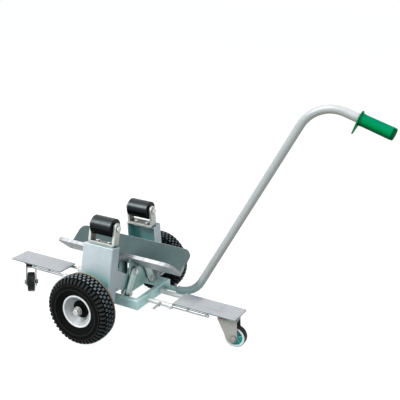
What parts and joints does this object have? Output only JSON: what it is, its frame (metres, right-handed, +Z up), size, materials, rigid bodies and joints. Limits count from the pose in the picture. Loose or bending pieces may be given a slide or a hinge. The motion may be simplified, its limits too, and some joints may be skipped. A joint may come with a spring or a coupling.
{
  "type": "slab dolly",
  "caption": "Low dolly for stone slabs: rubber-lined V tray between leaning roller towers, pneumatic side wheels, end casters on sliding arms and a bent pull handle.",
  "frame": {"origin": "on the floor, under the middle of the overall length and midway between the main wheels", "axes": "+X along the tray towards the handle end, +Y across towards the side that carries the handle, +Z up"},
  "size_m": [1.4783, 0.615, 0.9076],
  "materials": {
    "galvanised": "hot-dip galvanised steel, dull with faint spangle",
    "zinc_steel": "zinc-plated steel",
    "tyre_rubber": "moulded tyre rubber",
    "rim_paint": "light grey satin paint",
    "hub_steel": "plain machined steel",
    "slate_rubber": "slate-grey rubber sheet",
    "black_rubber": "smooth black rubber",
    "red_plastic": "moulded red plastic",
    "green_plastic": "moulded green plastic"
  },
  "bodies": {
    "chassis": {"near_side_rail": "galvanised", "far_side_rail": "galvanised", "front_end_rail": "galvanised", "rear_end_rail": "galvanised", "front_guides": "galvanised", "rear_guides": "galvanised", "axle_tube": "galvanised", "guide_post": "galvanised", "axle_shaft": "zinc_steel", "axle_nuts": "zinc_steel", "pivot_lugs": "galvanised", "pivot_bolts": "zinc_steel", "return_spring": "zinc_steel", "handle_socket": "galvanised"},
    "near_wheel": {"near_tyre": "tyre_rubber", "near_rim": "rim_paint", "near_hub": "hub_steel"},
    "far_wheel": {"far_tyre": "tyre_rubber", "far_rim": "rim_paint", "far_hub": "hub_steel"},
    "tray": {"tray_plate": "galvanised", "tray_lining": "slate_rubber", "tray_brackets": "galvanised", "guide_sleeve": "galvanised"},
    "near_rocker": {"near_tower": "galvanised", "near_levers": "galvanised", "near_yoke": "zinc_steel", "near_tower_bolts": "zinc_steel", "near_roller_axle": "zinc_steel"},
    "far_rocker": {"far_tower": "galvanised", "far_levers": "galvanised", "far_yoke": "zinc_steel", "far_tower_bolts": "zinc_steel", "far_roller_axle": "zinc_steel"},
    "near_roller_body": {"near_roller": "black_rubber", "near_roller_core": "zinc_steel"},
    "far_roller_body": {"far_roller": "black_rubber", "far_roller_core": "zinc_steel"},
    "front_arm": {"front_plate": "galvanised", "front_rods": "zinc_steel", "front_caster_head": "zinc_steel", "front_head_bolts": "zinc_steel"},
    "rear_arm": {"rear_plate": "galvanised", "rear_rods": "zinc_steel", "rear_caster_head": "zinc_steel", "rear_head_bolts": "zinc_steel"},
    "front_swivel": {"front_fork": "zinc_steel", "front_seal": "red_plastic"},
    "rear_swivel": {"rear_fork": "zinc_steel", "rear_seal": "red_plastic"},
    "front_caster_wheel": {"front_caster_core": "zinc_steel", "front_caster_tyre": "black_rubber"},
    "rear_caster_wheel": {"rear_caster_core": "zinc_steel", "rear_caster_tyre": "black_rubber"},
    "front_clamp": {"front_clamp_screw": "zinc_steel"},
    "rear_clamp": {"rear_clamp_screw": "zinc_steel"},
    "handle": {"handle_tube": "galvanised", "handle_plug": "zinc_steel", "handle_grip": "green_plastic"},
    "handle_lock_body": {"handle_lock": "zinc_steel"}
  },
  "joints": [
    {"name": "near_wheel_spin", "type": "hinge", "parent": "chassis", "child": "near_wheel", "pos_m": [-0.21575, -0.2645, 0.13], "axis": [0, 1, 0], "continuous": true},
    {"name": "far_wheel_spin", "type": "hinge", "parent": "chassis", "child": "far_wheel", "pos_m": [-0.21575, 0.2645, 0.13], "axis": [0, 1, 0], "continuous": true},
    {"name": "tray_sink", "type": "slide", "parent": "chassis", "child": "tray", "axis": [0, 0, -1], "range_m": [0, 0.0111], "stiffness_N_per_m": 6000, "springref_m": -0.03, "deforming": ["return_spring"]},
    {"name": "near_rock", "type": "hinge", "parent": "chassis", "child": "near_rocker", "pos_m": [-0.21575, -0.083, 0.138], "axis": [-1, 0, 0], "range_deg": [0, 13]},
    {"name": "far_rock", "type": "hinge", "parent": "chassis", "child": "far_rocker", "pos_m": [-0.21575, 0.083, 0.138], "axis": [1, 0, 0], "range_deg": [0, 13]},
    {"name": "near_roller_spin", "type": "hinge", "parent": "near_rocker", "child": "near_roller_body", "pos_m": [-0.21575, -0.1209, 0.4017], "axis": [1, 0, 0], "continuous": true},
    {"name": "far_roller_spin", "type": "hinge", "parent": "far_rocker", "child": "far_roller_body", "pos_m": [-0.21575, 0.1209, 0.4017], "axis": [1, 0, 0], "continuous": true},
    {"name": "front_arm_slide", "type": "slide", "parent": "chassis", "child": "front_arm", "axis": [1, 0, 0], "range_m": [0, 0.05]},
    {"name": "rear_arm_slide", "type": "slide", "parent": "chassis", "child": "rear_arm", "axis": [-1, 0, 0], "range_m": [-0.016, 0.034]},
    {"name": "front_swivel_turn", "type": "hinge", "parent": "front_arm", "child": "front_swivel", "pos_m": [0.22925, 0, 0.1], "axis": [0, 0, 1], "continuous": true},
    {"name": "rear_swivel_turn", "type": "hinge", "parent": "rear_arm", "child": "rear_swivel", "pos_m": [-0.67675, 0, 0.1], "axis": [0, 0, 1], "continuous": true},
    {"name": "front_caster_spin", "type": "hinge", "parent": "front_swivel", "child": "front_caster_wheel", "pos_m": [0.27514, 0.00321, 0.04], "axis": [0.0698, -0.9976, 0], "continuous": true},
    {"name": "rear_caster_spin", "type": "hinge", "parent": "rear_swivel", "child": "rear_caster_wheel", "pos_m": [-0.64843, -0.03625, 0.04], "axis": [-0.788, -0.6157, 0], "continuous": true},
    {"name": "front_clamp_turn", "type": "hinge", "parent": "chassis", "child": "front_clamp", "pos_m": [-0.01775, -0.06, 0.1135], "axis": [0, 1, 0], "range_deg": [0, 180]},
    {"name": "rear_clamp_turn", "type": "hinge", "parent": "chassis", "child": "rear_clamp", "pos_m": [-0.41375, -0.06, 0.1135], "axis": [0, 1, 0], "range_deg": [-180, 0]},
    {"name": "handle_pull", "type": "slide", "parent": "chassis", "child": "handle", "axis": [1, 0, 0], "range_m": [0, 0.046]},
    {"name": "handle_lock_turn", "type": "hinge", "parent": "chassis", "child": "handle_lock_body", "pos_m": [-0.02775, 0.084, 0.135], "axis": [0, 0, 1], "range_deg": [0, 360]}
  ],
  "couplings": [
    {"joint": "near_rock", "follows": "tray_sink", "rad_per_m": 20.4},
    {"joint": "far_rock", "follows": "tray_sink", "rad_per_m": 20.4}
  ]
}
